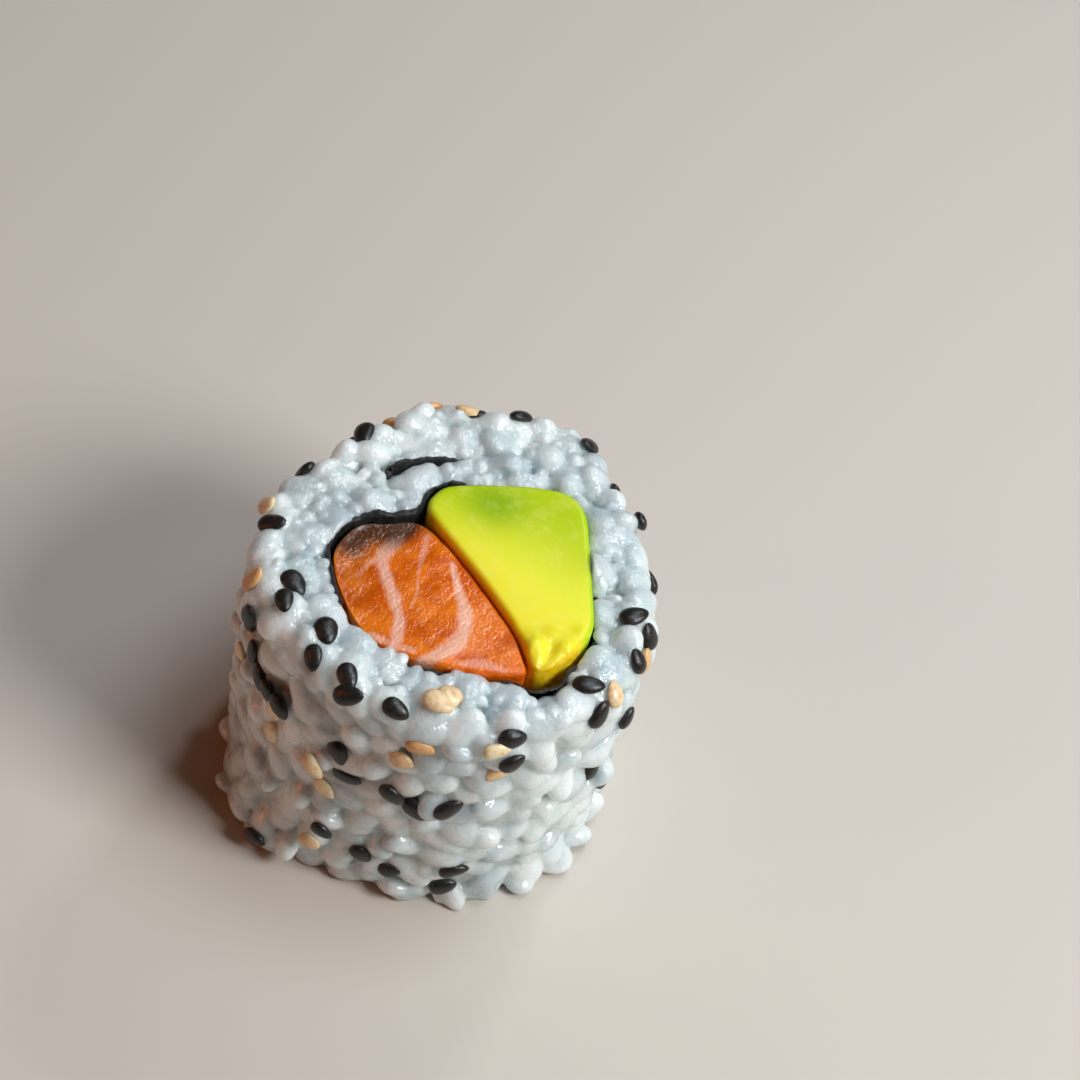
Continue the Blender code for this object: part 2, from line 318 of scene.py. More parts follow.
curl_turn = np.linspace(0.0, 1.0, CURL_STEPS)[1:] * CURL_ANGLE
way_out = (sheet_line[-1] - sheet_line[-2]) / np.linalg.norm(sheet_line[-1] - sheet_line[-2])
to_left = np.array([-way_out[1], way_out[0]])
curl = sheet_line[-1] + CURL_RADIUS * (
    np.sin(curl_turn)[:, None] * way_out + (1 - np.cos(curl_turn))[:, None] * to_left
)
sheet_path = np.vstack([sheet_line, curl])
along = np.concatenate([[0.0], np.cumsum(np.linalg.norm(np.diff(sheet_path, axis=0), axis=1))])
outwards = -normals_of(sheet_path)
path_angle = np.arctan2(sheet_path[:, 1], sheet_path[:, 0])

on_ring = along < along[ring_end]
from_doubled = (path_angle - math.radians(DOUBLED[0]) + math.pi) % (2 * math.pi) - math.pi
doubled = DOUBLED_SHARE * np.exp(-((from_doubled / math.radians(DOUBLED[1])) ** 2))
extra = np.where(on_ring, doubled, FLAP_SHARE)
half = SHEET_THICKNESS / 2 * (PLAIN_SHARE + extra + ripples(THICKNESS_RIPPLES, along))
flap_rise = FLAP_RISE * np.clip(1 - rice_over_sheet(path_angle), 0.0, 1.0)
top_edge = SHEET_TOP - EDGE_DROP * rice_over_sheet(path_angle) - FOLD_DROP * bare(path_angle)
top_edge = top_edge + np.where(on_ring, 0.0, flap_rise) + ripples(EDGE_RIPPLES, along)
fold_out = np.where(on_ring, FOLD_OUT * bare(path_angle), 0.0)
climb = 1.0 - np.linspace(1.0, 0.0, SHEET_LEVELS) ** CLIMB_POWER
bead = np.linspace(0.0, math.pi, BEAD_STEPS)[1:-1]


def sheet_row(side, share, lift=0.0, swing=1.0):
    """One line of points along the sheet: on one side of its middle, at a share of its height."""
    height = share * (top_edge - half)
    crease = ripple(CREASE_SEED, along / CREASE_LENGTHS[0], height / CREASE_LENGTHS[1]) * share
    lean = fold_out * np.clip(1 - (top_edge - height) / FOLD_HEIGHT, 0.0, 1.0) ** FOLD_BEND
    out = side * half * swing + CREASE_DEPTH * crease + lean
    return np.column_stack([sheet_path + outwards * out[:, None], height + lift])


rows = [sheet_row(-1.0, share) for share in climb]
rows += [sheet_row(-1.0, 1.0, half * math.sin(turn), math.cos(turn)) for turn in bead]
rows += [sheet_row(1.0, share) for share in climb[::-1]]
sheet_faces = grid_faces(len(rows), len(sheet_path), wrap_rows=True)
first_end = np.arange(len(rows)) * len(sheet_path)
last_end = (first_end + len(sheet_path) - 1)[::-1]
nori = new_piece("nori_sheet", np.vstack(rows), sheet_faces, caps=[first_end, last_end])
finish_piece(nori, nori_finish, "nori")

# ---------------------------------------------------------------------------------------------
# Rice: cooked short grains, pressed by hand and by the bamboo mat until they stick together. They
# lie over a smaller core, each pressed flat where it meets the sheet, and their starch melts them
# into one skin. At the two cut faces the knife has broken them up into bits.
# ---------------------------------------------------------------------------------------------
ROLL_HEIGHT = 33.5
TOP_EDGE = 2.4
BASE_EDGE = 1.6
ROLL_RADII = (
    21.4, 20.8, 21.0, 23.7, 22.0, 22.2, 20.2, 19.8,
    21.2, 22.7, 22.2, 22.0, 22.2, 22.8, 22.9, 22.5,
)
FOOT_CHANGES = ((-131.0, 18.0, 3.0), (-172.0, 28.0, -1.8))
# Whole grains and bits: length, width and depth at the usual spacing, and how far apart they lie.
GRAIN = (5.6, 3.7, 2.7)
GRAIN_USUAL = 2.9
SIDE_SPACING = (2.6, 3.2)
CUT_SPACING = (3.0, 4.2)
BIT = (2.4, 1.9, 1.5)
BIT_USUAL = 1.5
BIT_SPACING = (1.2, 1.65)
SPREAD_TRIES = 26000
FACE_WIDTH = 9.0
# A face whose normal rises by more than this is one of the two cuts.
FLAT_RISE = 0.99
# The rice thins out inwards from this reach, where every try may land.
FULL_REACH = 22.0
# How far a grain may hang over the sheet, as a share of its length, and how far bulges are pressed.
HANG_SHARE = 0.4
OVERHANG = 1.3
OVERHANG_DEPTH = 2.0
OVERHANG_EASE = 0.8
# How far the rice stays off the flap's free end, and off the sheet where that is folded out.
FLAP_END_ROOM = 0.3
FOLD_ROOM = 3.2
FOLDED_SHARE = 0.4
# How grains differ: their tilt on the cuts and on the side, their growth, their form and depth.
CUT_TILT = 0.45
SIDE_TILT = 0.4
GROWTH = (0.9, 1.12)
FORM_CHANGE = (0.9, 1.1)
STANDING_OUT = (-0.2, 0.3)
BITS_DEPTH = 0.15
GRAIN_BEND = 0.4
BEND_MIDDLE = 0.4
GRAIN_STEPS = (14, 10)
GRAIN_BLUNTNESS = 2.3
CORE_DEPTH = 0.9
CORE_STEPS = 180
CORE_LEVELS = 12
CORE_FOOT = 0.9
CORE_TOP_DROP = 1.2
# The core steps in by SHOULDER near its two ends, and sinks by FOLD_HOLLOW beside the folds.
SHOULDER = 0.8
SHOULDER_FOOT = 2.0
SHOULDER_TOP = 3.0
FOLD_HOLLOW = 2.0
# How much further round than the flap the core of the tongue starts and ends, and its open depth.
TONGUE_ENDS = (0.12, 0.2)
TONGUE_DEPTH = 1.5
THINNEST_TONGUE = 0.05
RICE_VOXEL = 0.2
SOFTENING = 3
RICE_TRIANGLES = 197000
RICE_SEED = 23
TONE_BLEND = 3.0
# Points are compared with all the grains in this many lots, to spare memory.
LOTS = 40
# Where the finish changes, each with its start and its end: between grains, where shade is painted, at the
# cut, and near the sheet by height and by distance, where bluish shade is painted.
VALLEY_SHADE = (1.0, 1.35)
CUT_HEIGHTS = (31.0, 33.0)
SHADE_NEAR_SHEET_HEIGHTS = (29.0, 32.5)
SHADE_NEAR_SHEET_REACH = (2.0, 7.0)
SHEET_GAP = 0.05
SHEET_ROOM = SHEET_THICKNESS / 2 + SHEET_GAP
GLASSY = paint(184, 196, 198)
MILKY = paint(232, 240, 238)
STARCHY = paint(252, 253, 250)
# Painted shade: the bluish grey laid on the rice high up near the sheet.
SHADE_NEAR_SHEET = paint(168, 186, 198)
# Painted shade: the grey-green laid into the crevices between the grains.
SHADE_BETWEEN_GRAINS = paint(158, 160, 148)


def turned(angle):
    """An angle brought between -90 and 270 degrees, where the sheet's overlap is one stretch."""
    return (angle + math.pi / 2) % (2 * math.pi) - math.pi / 2


def roll_radius(angle, height):
    """Distance from the axis to the roll's outside: the plan, plus what the foot spreads by."""
    radius = around(ROLL_RADII, angle)
    for middle, width, most in FOOT_CHANGES:
        turn = (angle - math.radians(middle) + math.pi) % (2 * math.pi) - math.pi
        bell = np.exp(-((turn / math.radians(width)) ** 2))
        radius = radius + most * bell * np.clip(1.0 - 2.0 * height / ROLL_HEIGHT, 0.0, 1.0)
    return radius


def ring_radius(angle):
    """Distance from the axis to the sheet where it closes round the fillings."""
    turn = (angle - sheet_angle[0]) % (2 * math.pi)
    return np.interp(turn, sheet_angle[: ring_end + 1] - sheet_angle[0], sheet_radius[: ring_end + 1])


def flap_radius(angle):
    """Distance from the axis to the sheet's overlapping end."""
    return np.interp(turned(angle), sheet_angle[ring_end:] - 2 * math.pi, sheet_radius[ring_end:])


def under_flap(angle):
    """Whether the sheet's overlap lies over this angle."""
    return (turned(angle) > flap_from) & (turned(angle) < flap_to)


def skin_points(angle, run):
    """(points, normals) on the roll: run goes from the base's rim up the side and over the top."""
    side = ROLL_HEIGHT - BASE_EDGE - TOP_EDGE
    low_end, side_end, high_end = np.cumsum([BASE_EDGE * math.pi / 2, side, TOP_EDGE * math.pi / 2])
    low = np.clip(run / BASE_EDGE, 0.0, math.pi / 2)
    high = np.clip((run - side_end) / TOP_EDGE, 0.0, math.pi / 2)
    slope = low - math.pi / 2 + high
    height = BASE_EDGE * (1 - np.cos(low)) + np.clip(run - low_end, 0.0, side) + TOP_EDGE * np.sin(high)
    inset = BASE_EDGE * (1 - np.sin(low)) + TOP_EDGE * (1 - np.cos(high))
    inset = inset - np.minimum(run, 0.0) + np.maximum(run - high_end, 0.0)
    radius = roll_radius(angle, height) - inset
    points = np.stack([radius * np.cos(angle), radius * np.sin(angle), height], axis=-1)
    level = np.cos(slope)
    return points, np.stack([level * np.cos(angle), level * np.sin(angle), np.sin(slope)], axis=-1)


def press(points, tongue):
    """Moves points off the sheet along the radius, but for what bulges over its top edge."""
    angle = np.arctan2(points[:, 1], points[:, 0])
    radius = np.linalg.norm(points[:, :2], axis=1)
    near_top = np.clip((points[:, 2] - ROLL_HEIGHT + OVERHANG_DEPTH) / OVERHANG_EASE, 0.0, 1.0)
    reach = OVERHANG * rice_over_sheet(angle) * near_top
    flap = np.where(under_flap(angle), flap_radius(angle), np.nan)
    lowest = np.where(under_flap(angle) & ~tongue, flap, ring_radius(angle)) + SHEET_ROOM - reach
    highest = np.where(under_flap(angle) & tongue, flap - SHEET_ROOM + reach, np.inf)
    wanted = np.maximum(np.minimum(radius, highest), np.minimum(lowest, highest))
    pressed = points.copy()
    pressed[:, :2] *= (wanted / radius)[:, None]
    pressed[:, 2] = np.maximum(pressed[:, 2], 0.0)
    return pressed


def scatter(points, spacing):
    """Marks points, in their order, that keep their own spacing to each one marked before."""
    marked = np.zeros(len(points), bool)
    for k, point in enumerate(points):
        apart = ((points[marked] - point) ** 2).sum(axis=1)
        marked[k] = not (apart < spacing[k] ** 2).any()
    return marked


def unit(vectors):
    """Vectors of length 1 in the same directions."""
    return vectors / np.linalg.norm(vectors, axis=-1, keepdims=True)


def grain_form(around_steps, along_steps, bluntness):
    """A unit grain along X: circles whose radius is (1 - |x|^p)^(1/p) of the middle's."""
    x = np.sin(np.linspace(-math.pi / 2, math.pi / 2, along_steps))
    radius = (1 - np.abs(x) ** bluntness) ** (1 / bluntness)
    radius[[0, -1]] = 0.0
    turn = np.linspace(0.0, 2 * math.pi, around_steps, endpoint=False)
    across, rise = np.outer(radius, np.cos(turn)), np.outer(radius, np.sin(turn))
    form = np.stack([np.repeat(x, around_steps), across.ravel(), rise.ravel()], axis=1)
    return form, grid_faces(along_steps, around_steps, wrap_columns=True)


def lay(form, faces, places, axes, sides, sizes, bends):
    """Copies of a form, one at each place: along its axis and side, of its own size and bend."""
    x, y, z = (form[None, :, k, None] * sizes[:, None, k, None] for k in range(3))
    z = z + bends[:, None, None] * (form[None, :, 0, None] ** 2 - BEND_MIDDLE)
    ways = axes[:, None], sides[:, None], np.cross(axes, sides)[:, None]
    points = places[:, None] + x * ways[0] + y * ways[1] + z * ways[2]
    number = np.arange(len(places))[:, None, None] * len(form)
    return points.reshape(-1, 3), (faces[None] + number).reshape(-1, 4)


def spread_grains(chance, size, usual_spacing, side_spacing, cut_spacing, depth=0.0, only_cut=False):
    """(places, axes, sides, half sizes, tongue) of grains strewn over the roll's whole skin.

    The grains grow with their spacing, so that they cover the skin wherever they land."""
    angle = chance.uniform(0.0, 2 * math.pi, SPREAD_TRIES)
    top_run = BASE_EDGE * math.pi / 2 + ROLL_HEIGHT - BASE_EDGE - TOP_EDGE + TOP_EDGE * math.pi / 2
    run = chance.uniform(-FACE_WIDTH, top_run + FACE_WIDTH, SPREAD_TRIES)
    skin, outward = skin_points(angle, run)
    reach = np.linalg.norm(skin[:, :2], axis=1)
    cut = np.abs(outward[:, 2]) > FLAT_RISE
    room = size[1] / 4
    over = HANG_SHARE * size[0] * rice_over_sheet(angle) * cut
    clear = reach > ring_radius(angle) + SHEET_ROOM + room - over
    beside_flap = np.abs(reach - flap_radius(angle)) < SHEET_ROOM + room - over
    clear &= ~(cut & under_flap(angle) & beside_flap)
    past_flap = np.linalg.norm(skin[:, :2] - sheet_line[-1], axis=1)
    clear &= ~(cut & (past_flap < size[0] / 2 + FLAP_END_ROOM))
    clear &= ~(cut & (bare(angle) > FOLDED_SHARE) & (reach < ring_radius(angle) + FOLD_ROOM))
    clear &= chance.uniform(0.0, 1.0, SPREAD_TRIES) < reach / FULL_REACH
    if only_cut:
        clear &= cut
    on_cut = chance.uniform(*cut_spacing, SPREAD_TRIES)
    spacing = np.where(cut, on_cut, chance.uniform(*side_spacing, SPREAD_TRIES))
    angle, skin, outward, reach, cut, spacing = (
        values[clear] for values in (angle, skin, outward, reach, cut, spacing)
    )
    chosen = scatter(skin, spacing)
    angle, skin, outward, reach, cut, spacing = (
        values[chosen] for values in (angle, skin, outward, reach, cut, spacing)
    )
    count = len(skin)
    lying = unit(np.cross(outward, unit(chance.normal(size=(count, 3)))))
    tilt = chance.normal(0.0, np.where(cut, CUT_TILT, SIDE_TILT), count)[:, None]
    axes = unit(lying * np.cos(tilt) + outward * np.sin(tilt))
    sides = unit(np.cross(outward, axes))
    grow = (spacing / usual_spacing)[:, None] * chance.uniform(*GROWTH, (count, 1))
    sizes = np.array(size) / 2 * grow * chance.uniform(*FORM_CHANGE, (count, 3))
    sink = sizes[:, 2] + depth - chance.uniform(*STANDING_OUT, count)
    places = skin - outward * sink[:, None]
    return places, axes, sides, sizes, cut & under_flap(angle) & (reach < flap_radius(angle))


def core_points(turns, radii, heights):
    """Rows of points at the given radii and heights, one row after the other."""
    rows = [np.column_stack([r * np.cos(turns), r * np.sin(turns), z]) for r, z in zip(radii, heights)]
    return np.vstack(rows)


def settle(piece):
    """Replaces a piece's mesh by what its modifiers make of it."""
    bpy.context.view_layer.update()
    made = bpy.data.meshes.new_from_object(piece.evaluated_get(bpy.context.evaluated_depsgraph_get()))
    piece.modifiers.clear()
    old, piece.data = piece.data, made
    bpy.data.meshes.remove(old)


def melt_together(points, tones, places, axes, sides, sizes):
    """(tone, nearest): each point's tone, blended from the grains round it, and the distance to the
    nearest grain, in each grain's own half sizes."""
    frames = (np.stack([axes, sides, np.cross(axes, sides)], axis=1) / sizes[:, :, None]).astype(np.float32)
    starts = np.einsum("gak,gk->ga", frames, places.astype(np.float32))
    found = []
    for some in np.array_split(points.astype(np.float32), LOTS):
        away = (some @ frames.reshape(-1, 3).T).reshape(len(some), -1, 3) - starts
        apart = np.einsum("pga,pga->pg", away, away)
        nearest = apart.min(axis=1)
        pull = np.exp(TONE_BLEND * (nearest[:, None] - apart))
        found.append(np.column_stack([(pull @ tones) / pull.sum(axis=1), np.sqrt(nearest)]))
    return np.vstack(found).T


def store(piece, name, values):
    """Keeps one number for each of a piece's points, for its material to read."""
    piece.data.attributes.new(name, "FLOAT", "POINT").data.foreach_set("value", values.astype(np.float32))


def ease(value, low, high):
    """0 below low, 1 above high, and a smooth step between."""
    share = np.clip((value - low) / (high - low), 0.0, 1.0)
    return share * share * (3 - 2 * share)


chance = np.random.default_rng(RICE_SEED)
whole = spread_grains(chance, GRAIN, GRAIN_USUAL, SIDE_SPACING, CUT_SPACING)
bits = spread_grains(chance, BIT, BIT_USUAL, BIT_SPACING, BIT_SPACING, BITS_DEPTH, only_cut=True)
places, axes, sides, sizes, tongue = (np.concatenate(pair) for pair in zip(whole, bits))
form, faces = grain_form(*GRAIN_STEPS, GRAIN_BLUNTNESS)
bends = chance.uniform(-GRAIN_BEND, GRAIN_BEND, len(places))
grains, grain_faces = lay(form, faces, places, axes, sides, sizes, bends)
grains = press(grains, np.repeat(tongue, len(form)))

core_turns = np.linspace(0.0, 2 * math.pi, CORE_STEPS, endpoint=False)
core_heights = np.linspace(CORE_FOOT, ROLL_HEIGHT - CORE_TOP_DROP, CORE_LEVELS)
walls = np.where(under_flap(core_turns), flap_radius(core_turns), ring_radius(core_turns)) + SHEET_ROOM
at_middle = (core_heights > SHOULDER_FOOT) & (core_heights < ROLL_HEIGHT - SHOULDER_TOP)
shoulders = np.where(at_middle, 0.0, SHOULDER)
radii = [roll_radius(core_turns, z) - CORE_DEPTH - shoulder for z, shoulder in zip(core_heights, shoulders)]
lowered = FOLD_HOLLOW * bare(core_turns)
heights = [np.full(CORE_STEPS, z) for z in core_heights]
heights += [z - lowered * z / ROLL_HEIGHT for z in core_heights[::-1]]
core = core_points(core_turns, radii + [walls] * CORE_LEVELS, heights)
core_faces = grid_faces(2 * CORE_LEVELS, CORE_STEPS, wrap_rows=True, wrap_columns=True)

tongue_turns = np.linspace(flap_from + TONGUE_ENDS[0], flap_to + TONGUE_ENDS[1], CORE_STEPS // 3)
inner = ring_radius(tongue_turns) + SHEET_ROOM
outer = flap_radius(tongue_turns) + np.where(under_flap(tongue_turns), -SHEET_ROOM, TONGUE_DEPTH)
outer = np.maximum(outer, inner + THINNEST_TONGUE)
low, high = (np.full(len(tongue_turns), z) for z in core_heights[[0, -1]])
tongue_core = core_points(tongue_turns, [inner, outer, outer, inner], [low, low, high, high])
tongue_faces = grid_faces(4, len(tongue_turns), wrap_rows=True)
first_end = np.arange(4) * len(tongue_turns)
tongue_faces = np.vstack([tongue_faces, first_end, (first_end + len(tongue_turns) - 1)[::-1]])

faces = [grain_faces, core_faces + len(grains), tongue_faces + len(grains) + len(core)]
rice = new_piece("rice_grains", np.vstack([grains, core, tongue_core]), np.vstack(faces))
melt = rice.modifiers.new("melt", "REMESH")
melt.mode = "VOXEL"
melt.voxel_size = RICE_VOXEL * MM
soften = rice.modifiers.new("soften", "SMOOTH")
soften.factor = 0.5
soften.iterations = SOFTENING
settle(rice)
thin = rice.modifiers.new("thin", "DECIMATE")
thin.ratio = min(1.0, RICE_TRIANGLES / (2 * len(rice.data.polygons)))
settle(rice)
rice.data.shade_smooth()

skin = np.empty(len(rice.data.vertices) * 3, np.float32)
rice.data.vertices.foreach_get("co", skin)
tones = chance.uniform(0.0, 1.0, len(places))
tone, nearest = melt_together(skin.reshape(-1, 3) / MM, tones, places, axes, sides, sizes)
x, y, z = skin.reshape(-1, 3).T / MM
past_sheet = np.hypot(x, y) - ring_radius(np.arctan2(y, x))
store(rice, "tone", tone)
# Painted shade: the rice darkens into the crevices between grains.
store(rice, "valley_shade", ease(nearest, *VALLEY_SHADE))
store(rice, "cut", ease(z, *CUT_HEIGHTS))
# Painted shade: the rice near the sheet, high up, is painted darker and bluer.
store(rice, "inner", ease(z, *SHADE_NEAR_SHEET_HEIGHTS) * (1 - ease(past_sheet, *SHADE_NEAR_SHEET_REACH)))

shop = Shop(
    "rice", IOR=1.42, Specular_IOR_Level=0.9,
    Subsurface_Weight=1.0, Subsurface_Radius=(0.95, 0.98, 1.0), Subsurface_Scale=0.0032,
)
tone, valley_shade, cut, inner = (shop.attribute(name) for name in ("tone", "valley_shade", "cut", "inner"))
starch = shop.spread(shop.noise(3.5, 3.0, 0.6), 0.4, 0.62)
grain = shop.mix(tone, GLASSY, MILKY)
grain = shop.mix(0.4 * starch, grain, STARCHY)
# Painted shade near the sheet: the grain colour turns bluish grey there.
grain = shop.mix(0.32 * inner, grain, SHADE_NEAR_SHEET)
wet = shop.spread(shop.noise(1.1, 2.0), 0.45, 0.62)
dimples = shop.bump(shop.noise(1.1, 1.0), 0.17)
pores = shop.noise(0.4, 1.0) * (0.55 + 0.45 * cut)
shop.feed(
    # Painted shade between the grains.
    Base_Color=shop.mix(0.6 * valley_shade, grain, SHADE_BETWEEN_GRAINS),
    Roughness=0.2 - 0.08 * wet,
    Normal=shop.bump(pores, 0.13, under=dimples),
)
finish_piece(rice, shop.material, "rice")


# ---------------------------------------------------------------------------------------------
# Sesame seeds: flat drops about 3 mm long, black ones and toasted pale brown ones, sprinkled on
# the rice before the roll is turned over. They stick to the wet grains and lie a little in them.
# ---------------------------------------------------------------------------------------------
SEED_LENGTH = 3.2
SEED_WIDTH = 2.25
SEED_DEPTH = 1.3
SEED_SEED = 41
SEED_STEPS = (14, 11)
# How seeds differ: in size, in form and in bend, and the share of their depth that stands out.
SEED_GROWTH = (0.88, 1.1)
SEED_FORM_CHANGE = (0.93, 1.07)
SEED_BEND = 0.12
SEED_LIFT = 0.45
# The seeds are laid on the rice from this far out.
SEED_START = 8.0
# (angle in degrees, distance up the side from the base's rim, lean in degrees of the long axis)
BLACK_SEEDS = (
    (-173, 34.8, 80), (-149, 37.6, 20), (-142, 35.5, -20), (-127, 37.2, -30), (-152, 27.5, 85),
    (-147, 31.0, 80), (-123, 34.2, -50), (-145, 25.5, 95), (-139, 24.0, -60), (-111, 34.8, -40),
    (-108, 33.5, 30), (-95, 34.2, -15), (-134, 24.0, -60), (-128, 24.2, -40), (-108, 23.0, -55),
    (-104, 20.0, -5), (-90, 21.0, -40), (-83, 19.0, -35), (-75, 20.5, 35), (-63, 33.3, 0),
    (-62, 29.7, 35), (-6, 35.8, -50), (-7, 33.4, 80), (-18, 34.0, 80), (-36, 36.0, -40),
    (-37, 32.6, 60), (-21, 26.0, 60), (-29, 19.0, 60), (-20, 14.0, 45), (-106, 11.2, -30),
    (-123, 3.6, 10), (-95, 7.5, -50), (-86, 6.0, 25), (-69, 8.8, 15), (-70, 4.2, 25), (99, 34.0, 10),
)
TOASTED_SEEDS = (
    (180, 33.5, 80), (-80, 37.8, 15), (-84, 35.8, -20), (-86, 30.2, -10), (-90, 27.0, -10),
    (-64, 26.5, 20), (-67, 32.2, 10), (-31, 33.6, 70), (-109, 16.6, -10), (-113, 20.0, -40),
    (-109, 7.3, 20), (-154, 33.6, 85), (-151, 22.6, 80), (-130, 22.8, 75), (-131, 17.6, 80),
    (-13, 32.0, 80), (101, 34.0, 10),
)
# Seeds on the far side: how many, the least and the most of the three values, and their spacing.
HIDDEN_BLACK = 34
HIDDEN_TOASTED = 18
HIDDEN_FROM = (10.0, 3.0, -90.0)
HIDDEN_TO = (165.0, 35.2, 90.0)
HIDDEN_TRIES = 500
HIDDEN_GAP = 3.8
BLACK_HULL = paint(14, 13, 13)
BLACK_RIDGES = paint(50, 46, 43)
DARK_ROAST = paint(216, 154, 84)
LIGHT_ROAST = paint(246, 226, 184)
ROAST_SPOTS = paint(184, 116, 56)


def seed_form(around_steps, along_steps):
    """A unit seed along X: a drop with its blunt end at -X, and with softly squared sides.

    Its radius is (1 - |x|^2.4)^0.5 times (1 - 0.22x - 0.05x^2)."""
    x = np.sin(np.linspace(-math.pi / 2, math.pi / 2, along_steps))
    radius = (1 - np.abs(x) ** 2.4) ** 0.5 * (1 - 0.22 * x - 0.05 * x**2)
    radius[[0, -1]] = 0.0
    turn = np.linspace(0.0, 2 * math.pi, around_steps, endpoint=False)
    across = np.sign(np.cos(turn)) * np.abs(np.cos(turn)) ** 0.9
    rise = np.sign(np.sin(turn)) * np.abs(np.sin(turn)) ** 1.2
    grid = [np.repeat(x, around_steps), np.outer(radius, across).ravel(), np.outer(radius, rise).ravel()]
    return np.stack(grid, axis=1), grid_faces(along_steps, around_steps, wrap_columns=True)


def sprinkle(name, shown, hidden, chance, finish):
    """Seeds at the shown places and at the hidden ones on the far side, each laid on the rice."""
    places = np.vstack([shown, hidden])
    count = len(places)
    angle, run, lean = np.radians(places[:, 0]), places[:, 1], np.radians(places[:, 2])
    points, outward = skin_points(angle, run)
    found, facing = [], []
    for point, way in zip(points, outward):
        hit, normal, _, _ = rice_surface.ray_cast(Vector((point + way * SEED_START) * MM), Vector(-way))
        if hit is None:
            hit, normal = Vector(point * MM), Vector(way)
        found.append(np.array(hit) / MM)
        facing.append(np.array(normal))
    ups = unit(0.5 * np.array(facing) + outward)
    along = np.column_stack([-np.sin(angle), np.cos(angle), np.zeros(count)])
    across = np.cross(outward, along)
    axes = along * np.cos(lean)[:, None] + across * np.sin(lean)[:, None]
    axes = unit(axes - ups * (axes * ups).sum(1, keepdims=True))
    size = np.array([SEED_LENGTH, SEED_WIDTH, SEED_DEPTH]) / 2
    size = size * chance.uniform(*SEED_GROWTH, (count, 1)) * chance.uniform(*SEED_FORM_CHANGE, (count, 3))
    form, faces = seed_form(*SEED_STEPS)
    middles = np.array(found) + ups * size[:, 2:] * SEED_LIFT
    bends = chance.uniform(-SEED_BEND, SEED_BEND, count)
    seeds, seed_faces = lay(form, faces, middles, axes, np.cross(ups, axes), size, bends)
    piece = new_piece(name, seeds, seed_faces)
    store(piece, "tint", np.repeat(chance.uniform(0.0, 1.0, count), len(form)))
    finish_piece(piece, finish, None)


rice_surface = BVHTree.FromObject(rice, bpy.context.evaluated_depsgraph_get())
seed_chance = np.random.default_rng(SEED_SEED)
far = seed_chance.uniform(HIDDEN_FROM, HIDDEN_TO, (HIDDEN_TRIES, 3))
every_seed = np.vstack([BLACK_SEEDS, TOASTED_SEEDS, far])
seed_places, _ = skin_points(np.radians(every_seed[:, 0]), every_seed[:, 1])
# The shown seeds may touch each other; the far ones keep clear of them all.
gaps = np.full(len(every_seed), HIDDEN_GAP)
gaps[:-HIDDEN_TRIES] = 0.0
far = far[scatter(seed_places, gaps)[-HIDDEN_TRIES:]]
far_black, far_toasted = far[:HIDDEN_BLACK], far[HIDDEN_BLACK : HIDDEN_BLACK + HIDDEN_TOASTED]

shop = Shop("black_sesame", Specular_IOR_Level=0.45)
hull = shop.noise(0.35, 4.0, 0.6)
shop.feed(
    Base_Color=shop.mix(hull, BLACK_HULL, BLACK_RIDGES),
    Roughness=0.2 + 0.2 * hull,
    Normal=shop.bump(hull, 0.06),
)
sprinkle("black_sesame", BLACK_SEEDS, far_black, seed_chance, shop.material)

shop = Shop(
    "toasted_sesame", Roughness=0.32,
    Subsurface_Weight=0.35, Subsurface_Radius=(1.0, 0.6, 0.3), Subsurface_Scale=0.0006,
)
hull = shop.noise(0.6, 3.0, 0.6)
roast = shop.mix(shop.spread(shop.attribute("tint"), 0.0, 1.0), DARK_ROAST, LIGHT_ROAST)
shop.feed(
    Base_Color=shop.mix(0.5 * shop.spread(hull, 0.45, 0.75), roast, ROAST_SPOTS),
    Normal=shop.bump(hull, 0.05),
)
sprinkle("toasted_sesame", TOASTED_SEEDS, far_toasted, seed_chance, shop.material)

# ---------------------------------------------------------------------------------------------
# Salmon: a strip of raw fillet laid on the sheet. The knife goes across its flakes, so the cut
# shows orange muscle between pale lines of fat, wet, and faintly torn along its fibres.
# ---------------------------------------------------------------------------------------------
SALMON_TOP = 33.0
SALMON_EDGE = 0.45
SALMON_OUTLINE = (
    (-12.4, -5.4), (-10.6, -8.7), (-7.6, -12.2), (-4.0, -14.0), (1.0, -14.4), (5.4, -14.0),
    (8.4, -13.3), (9.8, -12.4), (9.2, -10.8), (7.4, -7.8), (3.3, -3.6), (-1.2, 0.6),
    (-4.4, 2.9), (-6.4, 3.2), (-8.4, 2.2), (-11.4, 0.8), (-12.9, -2.8),
)
# Lines of fat: (strength, half widths at the start, the middle and the end, points)
FAT_LINES = (
    (1.0, (0.95, 0.65, 0.9), (
        (-6.9, 3.4), (-7.4, 0.5), (-7.9, -2.6), (-6.6, -5.2),
        (-5.4, -7.5), (-4.4, -9.9), (-4.0, -12.1), (-4.2, -14.2),
    )),
    (0.75, (0.5, 0.2, 0.1), ((-8.0, -2.6), (-9.1, -3.3), (-10.0, -5.6))),
    (0.45, (0.5, 0.22, 0.15), ((-4.1, 1.6), (-4.0, -1.4), (-3.8, -3.8), (-3.4, -6.0), (-3.5, -8.2))),
    (1.0, (0.2, 0.75, 0.7), (
        (-0.8, -1.2), (0.6, -4.2), (1.8, -6.5), (2.5, -9.0), (1.9, -11.6), (0.6, -13.4), (-1.0, -14.6),
    )),
    (0.7, (0.5, 0.6, 0.5), ((-6.6, -12.6), (-4.4, -13.2), (-2.0, -13.6))),
    (0.55, (0.3, 0.6, 0.4), ((3.0, -13.6), (5.2, -12.9), (7.4, -12.9))),
)
